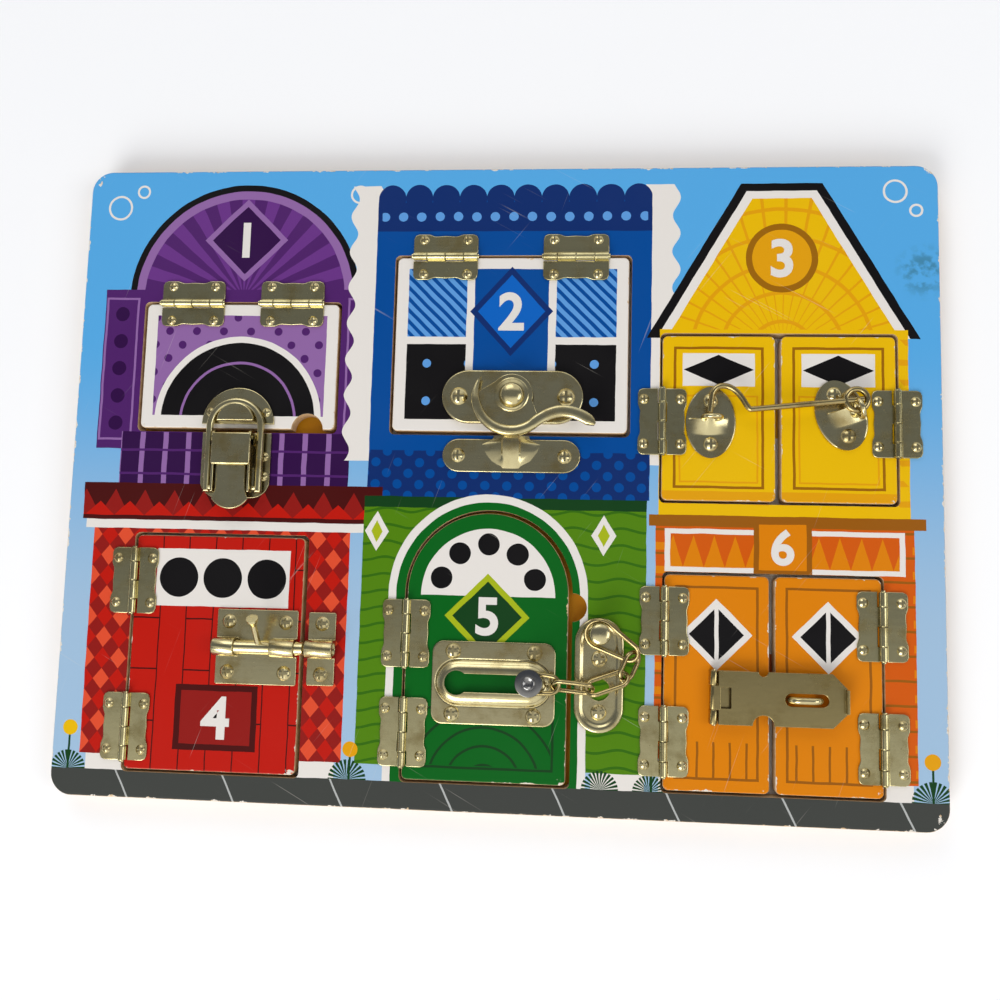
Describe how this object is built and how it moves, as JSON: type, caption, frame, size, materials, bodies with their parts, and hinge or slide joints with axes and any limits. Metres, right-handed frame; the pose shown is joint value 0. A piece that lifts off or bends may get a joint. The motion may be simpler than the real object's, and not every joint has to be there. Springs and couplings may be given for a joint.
{
  "type": "busy board",
  "caption": "Flat wooden busy board with hinged numbered doors, each held shut by a different brass latch, hook, bolt, chain or hasp.",
  "frame": {"origin": "middle of the board's flat back face, on the surface it rests on", "axes": "+X along the board's long side, +Y towards the board's top edge, +Z out of the painted face"},
  "size_m": [0.3938, 0.2922, 0.0308],
  "materials": {
    "painted_wood": "satin enamel paint on plywood",
    "back_panel_wood": "bare plywood",
    "painted_doors": "satin enamel paint on plywood",
    "hinges": "bright brass-plated steel, lightly tarnished",
    "latches": "bright brass-plated steel, lightly tarnished",
    "screws": "brass-plated steel",
    "hinge_pins": "brass-plated steel",
    "chain": "brass-plated steel wire"
  },
  "bodies": {
    "board": {"back_panel": "back_panel_wood", "front_board": "painted_wood", "board_screws": "screws", "hinge_pins": "hinge_pins", "board_hinge_leaves_1": "hinges", "board_hinge_leaves_2": "hinges", "board_hinge_leaves_3": "hinges", "board_hinge_leaves_4": "hinges", "board_hinge_leaves_5": "hinges", "board_hinge_leaves_6": "hinges", "toggle_base": "latches", "sash_keeper": "latches", "bolt_keeper": "latches", "anchor_plate": "latches"},
    "door_1": {"door_1": "painted_doors", "door_1_hinge_leaves": "hinges", "door_1_screws": "screws", "toggle_catch": "latches"},
    "door_2": {"door_2": "painted_doors", "door_2_hinge_leaves": "hinges", "door_2_screws": "screws", "sash_base": "latches", "sash_rivet": "latches"},
    "door_3_left": {"door_3_left": "painted_doors", "door_3_left_hinge_leaf": "hinges", "door_3_left_screws": "screws", "eye_plate": "latches"},
    "door_3_right": {"door_3_right": "painted_doors", "door_3_right_hinge_leaf": "hinges", "door_3_right_screws": "screws", "hook_plate": "latches"},
    "door_4": {"door_4": "painted_doors", "door_4_hinge_leaves": "hinges", "door_4_screws": "screws", "bolt_guide": "latches"},
    "door_5": {"door_5": "painted_doors", "door_5_hinge_leaves": "hinges", "door_5_screws": "screws", "track_plate": "latches"},
    "door_6_left": {"door_6_left": "painted_doors", "door_6_left_hinge_leaves": "hinges", "door_6_left_screws": "screws", "hasp_base": "latches", "hasp_pin": "latches"},
    "door_6_right": {"door_6_right": "painted_doors", "door_6_right_hinge_leaves": "hinges", "door_6_right_screws": "screws", "hasp_staple": "latches"},
    "toggle_lever": {"toggle_lever": "latches"},
    "toggle_loop": {"toggle_loop": "latches"},
    "sash_cam": {"sash_cam": "latches"},
    "hook": {"hook": "latches"},
    "bolt": {"bolt_rod": "latches"},
    "chain_slider": {"chain_slider": "latches"},
    "hasp": {"hasp_leaf": "latches"},
    "chain_link_1": {"chain_link_1": "chain"},
    "chain_link_2": {"chain_link_2": "chain"},
    "chain_link_3": {"chain_link_3": "chain"},
    "chain_link_4": {"chain_link_4": "chain"},
    "chain_link_5": {"chain_link_5": "chain"}
  },
  "joints": [
    {"name": "door_1_swing", "type": "hinge", "parent": "board", "child": "door_1", "pos_m": [-0.1195, 0.081, 0.01475], "axis": [-1, 0, 0], "range_deg": [0, 160]},
    {"name": "toggle_lever_lift", "type": "hinge", "parent": "board", "child": "toggle_lever", "pos_m": [-0.1186, 0.0168, 0.0186], "axis": [1, 0, 0], "range_deg": [-95, 0]},
    {"name": "toggle_loop_lift", "type": "hinge", "parent": "door_1", "child": "toggle_loop", "pos_m": [-0.1186, 0.0355, 0.016], "axis": [1, 0, 0], "range_deg": [-38.5, 0.5]},
    {"name": "door_2_swing", "type": "hinge", "parent": "board", "child": "door_2", "pos_m": [0.00655, 0.1034, 0.01475], "axis": [-1, 0, 0], "range_deg": [0, 165]},
    {"name": "sash_cam_turn", "type": "hinge", "parent": "door_2", "child": "sash_cam", "pos_m": [0.00805, 0.0378, 0.0182], "axis": [0, 0, 1], "range_deg": [0, 150]},
    {"name": "door_3_left_swing", "type": "hinge", "parent": "board", "child": "door_3_left", "pos_m": [0.0752, 0.0297, 0.01475], "axis": [0, -1, 0], "range_deg": [0, 135]},
    {"name": "door_3_right_swing", "type": "hinge", "parent": "board", "child": "door_3_right", "pos_m": [0.1772, 0.0297, 0.01475], "axis": [0, 1, 0], "range_deg": [-0.5, 135.5]},
    {"name": "hook_swing", "type": "hinge", "parent": "door_3_right", "child": "hook", "pos_m": [0.15862, 0.03727, 0.019], "axis": [0, 0, 1], "range_deg": [-70, 6.4]},
    {"name": "door_4_swing", "type": "hinge", "parent": "board", "child": "door_4", "pos_m": [-0.1632, -0.0807, 0.01475], "axis": [0, -1, 0], "range_deg": [0, 165]},
    {"name": "bolt_slide", "type": "slide", "parent": "door_4", "child": "bolt", "axis": [1, 0, 0], "range_m": [-0.0095, 0.004]},
    {"name": "door_5_swing", "type": "hinge", "parent": "board", "child": "door_5", "pos_m": [-0.0368, -0.074, 0.01475], "axis": [0, -1, 0], "range_deg": [0, 125]},
    {"name": "chain_slide", "type": "slide", "parent": "door_5", "child": "chain_slider", "axis": [1, 0, 0], "range_m": [-0.032, 0]},
    {"name": "chain_link_1_yaw", "type": "hinge", "parent": "chain_slider", "child": "chain_link_1", "pos_m": [0.01875, -0.0889, 0.0205], "axis": [0, 0, 1], "range_deg": [-1, 11]},
    {"name": "chain_link_2_yaw", "type": "hinge", "parent": "chain_link_1", "child": "chain_link_2", "pos_m": [0.03044, -0.08945, 0.0205], "axis": [0, 0, 1], "range_deg": [-1, 6]},
    {"name": "chain_link_3_yaw", "type": "hinge", "parent": "chain_link_2", "child": "chain_link_3", "pos_m": [0.04509, -0.09068, 0.0205], "axis": [0, 0, 1], "range_deg": [-38, 1]},
    {"name": "chain_link_4_yaw", "type": "hinge", "parent": "chain_link_3", "child": "chain_link_4", "pos_m": [0.05985, -0.08504, 0.0205], "axis": [0, 0, 1], "range_deg": [-34, 1]},
    {"name": "chain_link_5_yaw", "type": "hinge", "parent": "chain_link_4", "child": "chain_link_5", "pos_m": [0.06383, -0.07566, 0.0205], "axis": [0, 0, 1], "range_deg": [-35, 1]},
    {"name": "door_6_left_swing", "type": "hinge", "parent": "board", "child": "door_6_left", "pos_m": [0.077, -0.08665, 0.01475], "axis": [0, -1, 0], "range_deg": [0, 110]},
    {"name": "door_6_right_swing", "type": "hinge", "parent": "board", "child": "door_6_right", "pos_m": [0.1698, -0.08665, 0.01475], "axis": [0, 1, 0], "range_deg": [-0.5, 110.5]},
    {"name": "hasp_swing", "type": "hinge", "parent": "door_6_left", "child": "hasp", "pos_m": [0.0981, -0.0926, 0.016], "axis": [0, 1, 0], "range_deg": [-150, 0]}
  ],
  "couplings": [
    {"joint": "chain_link_1_yaw", "follows": "chain_slide", "rad_per_m": -5.2709},
    {"joint": "chain_link_2_yaw", "follows": "chain_slide", "rad_per_m": -2.1991},
    {"joint": "chain_link_3_yaw", "follows": "chain_slide", "rad_per_m": 19.932},
    {"joint": "chain_link_4_yaw", "follows": "chain_slide", "rad_per_m": 17.837},
    {"joint": "chain_link_5_yaw", "follows": "chain_slide", "rad_per_m": 18.535},
    {"joint": "toggle_loop_lift", "follows": "toggle_lever_lift", "ratio": 0.4},
    {"joint": "door_3_right_swing", "follows": "door_3_left_swing", "ratio": 1},
    {"joint": "door_6_right_swing", "follows": "door_6_left_swing", "ratio": 1}
  ]
}
